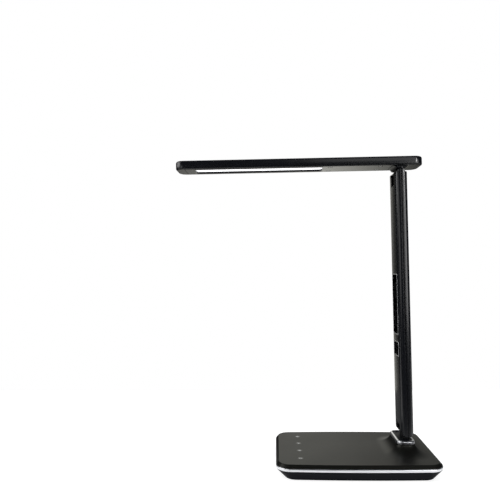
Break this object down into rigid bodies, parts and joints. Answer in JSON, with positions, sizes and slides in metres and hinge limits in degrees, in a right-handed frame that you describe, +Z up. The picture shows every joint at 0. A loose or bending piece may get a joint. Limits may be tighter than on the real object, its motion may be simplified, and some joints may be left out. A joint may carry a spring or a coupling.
{
  "type": "folding desk lamp",
  "caption": "Folding LED desk lamp: weighted base with touch marks, flat hinged arm with clock windows and a slim hinged light head with a white panel.",
  "frame": {"origin": "on the resting face, under the middle of the base's plan outline", "axes": "+Z up along the arm, +X towards the arm's side of the base so the head's tip points along -X, +Y across the lamp"},
  "size_m": [0.2721, 0.12, 0.3294],
  "materials": {
    "black_plastic": "satin black moulded plastic",
    "base_top": "fine-textured black with a soft sheen",
    "silver_trim": "satin silver",
    "rubber_pad": "matt",
    "ballast": "raw plate",
    "steel": "bright",
    "circuit_board": "solder resist",
    "contact_metal": "bright",
    "touch_mark": "printed, lit marks",
    "lens": "high gloss",
    "display": "polished",
    "cable": "matt",
    "light_panel": "opal, lit",
    "clear_guide": "clear acrylic",
    "reflector": "white film",
    "led": "phosphor",
    "spreader": "plain sheet",
    "neck_metal": "satin black"
  },
  "bodies": {
    "base": {"base_pad": "rubber_pad", "base_bottom_shell": "black_plastic", "base_trim": "silver_trim", "base_top_cover": "base_top", "ballast_plate": "ballast", "control_board": "circuit_board", "touch_contacts": "contact_metal", "touch_windows": "touch_mark", "power_inlet": "black_plastic", "base_screws": "steel", "hinge_collar": "silver_trim", "hinge_bracket": "steel", "bracket_screws": "steel"},
    "arm": {"arm_rear_shell": "black_plastic", "arm_front_cover": "black_plastic", "clock_bezel": "silver_trim", "clock_lens": "lens", "clock_glass": "display", "date_bezel": "silver_trim", "date_lens": "lens", "date_glass": "display", "clock_board": "circuit_board", "arm_cable": "cable", "arm_screws": "steel", "lower_yoke": "steel", "lower_pin": "steel", "lower_washers": "contact_metal", "lower_nut": "steel", "upper_yoke": "steel", "upper_pin": "steel", "upper_washers": "contact_metal", "upper_nut": "steel", "yoke_screws": "steel"},
    "key_set": {"clock_key_set": "black_plastic"},
    "key_up": {"clock_key_up": "black_plastic"},
    "key_down": {"clock_key_down": "black_plastic"},
    "head": {"head_top_cover": "black_plastic", "head_bottom_cover": "black_plastic", "diffuser": "light_panel", "light_guide": "clear_guide", "reflector_sheet": "reflector", "led_boards": "circuit_board", "leds": "led", "heat_spreader": "spreader", "head_neck": "neck_metal", "neck_screws": "steel", "head_screws": "steel"}
  },
  "joints": [
    {"name": "arm_fold", "type": "hinge", "parent": "base", "child": "arm", "pos_m": [0.056, 0, 0.0372], "axis": [0, -1, 0], "range_deg": [0, 90]},
    {"name": "head_tilt", "type": "hinge", "parent": "arm", "child": "head", "pos_m": [0.056, 0, 0.3092], "axis": [0, 1, 0], "range_deg": [-90, 45]},
    {"name": "set_key_press", "type": "slide", "parent": "arm", "child": "key_set", "axis": [-1, 0, 0], "range_m": [0, 0.0006], "stiffness_N_per_m": 1500, "springref_m": -0.0003},
    {"name": "up_key_press", "type": "slide", "parent": "arm", "child": "key_up", "axis": [-1, 0, 0], "range_m": [0, 0.0006], "stiffness_N_per_m": 1500, "springref_m": -0.0003},
    {"name": "down_key_press", "type": "slide", "parent": "arm", "child": "key_down", "axis": [-1, 0, 0], "range_m": [0, 0.0006], "stiffness_N_per_m": 1500, "springref_m": -0.0003}
  ]
}
